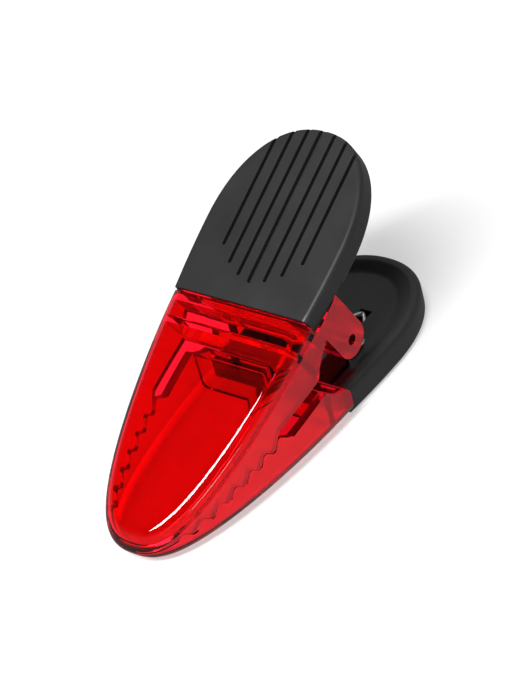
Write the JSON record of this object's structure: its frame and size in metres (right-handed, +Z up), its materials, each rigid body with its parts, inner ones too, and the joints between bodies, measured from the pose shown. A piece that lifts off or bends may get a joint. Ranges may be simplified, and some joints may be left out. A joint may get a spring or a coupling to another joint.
{
  "type": "binder clip",
  "caption": "Spring-loaded binder clip: two hinged levers with clear toothed jaws and grooved rubber grips, closed by a torsion spring on a pin.",
  "frame": {"origin": "on the lower lever's flat outer face, straight below the hinge line, half way across the width", "axes": "+X from the hinge towards the handles, -X towards the jaws' tip, Y along the hinge pin, +Z up from the lower lever's outer face"},
  "size_m": [0.1006, 0.038, 0.0491],
  "materials": {
    "red_plastic": "polished, translucent",
    "black_rubber": "satin",
    "steel_pin": "drawn",
    "spring_wire": "bright zinc"
  },
  "bodies": {
    "lower_lever": {"lower_jaw": "red_plastic", "lower_grip": "black_rubber", "hinge_pin": "steel_pin", "spring_coil": "spring_wire"},
    "upper_lever": {"upper_jaw": "red_plastic", "upper_grip": "black_rubber", "spring_upper_leg": "spring_wire"}
  },
  "joints": [
    {"name": "jaw_hinge", "type": "hinge", "parent": "lower_lever", "child": "upper_lever", "pos_m": [0, 0, 0.0175], "axis": [0, 1, 0], "range_deg": [0, 50], "stiffness_Nm_per_rad": 0.5, "springref_deg": -57.3}
  ]
}
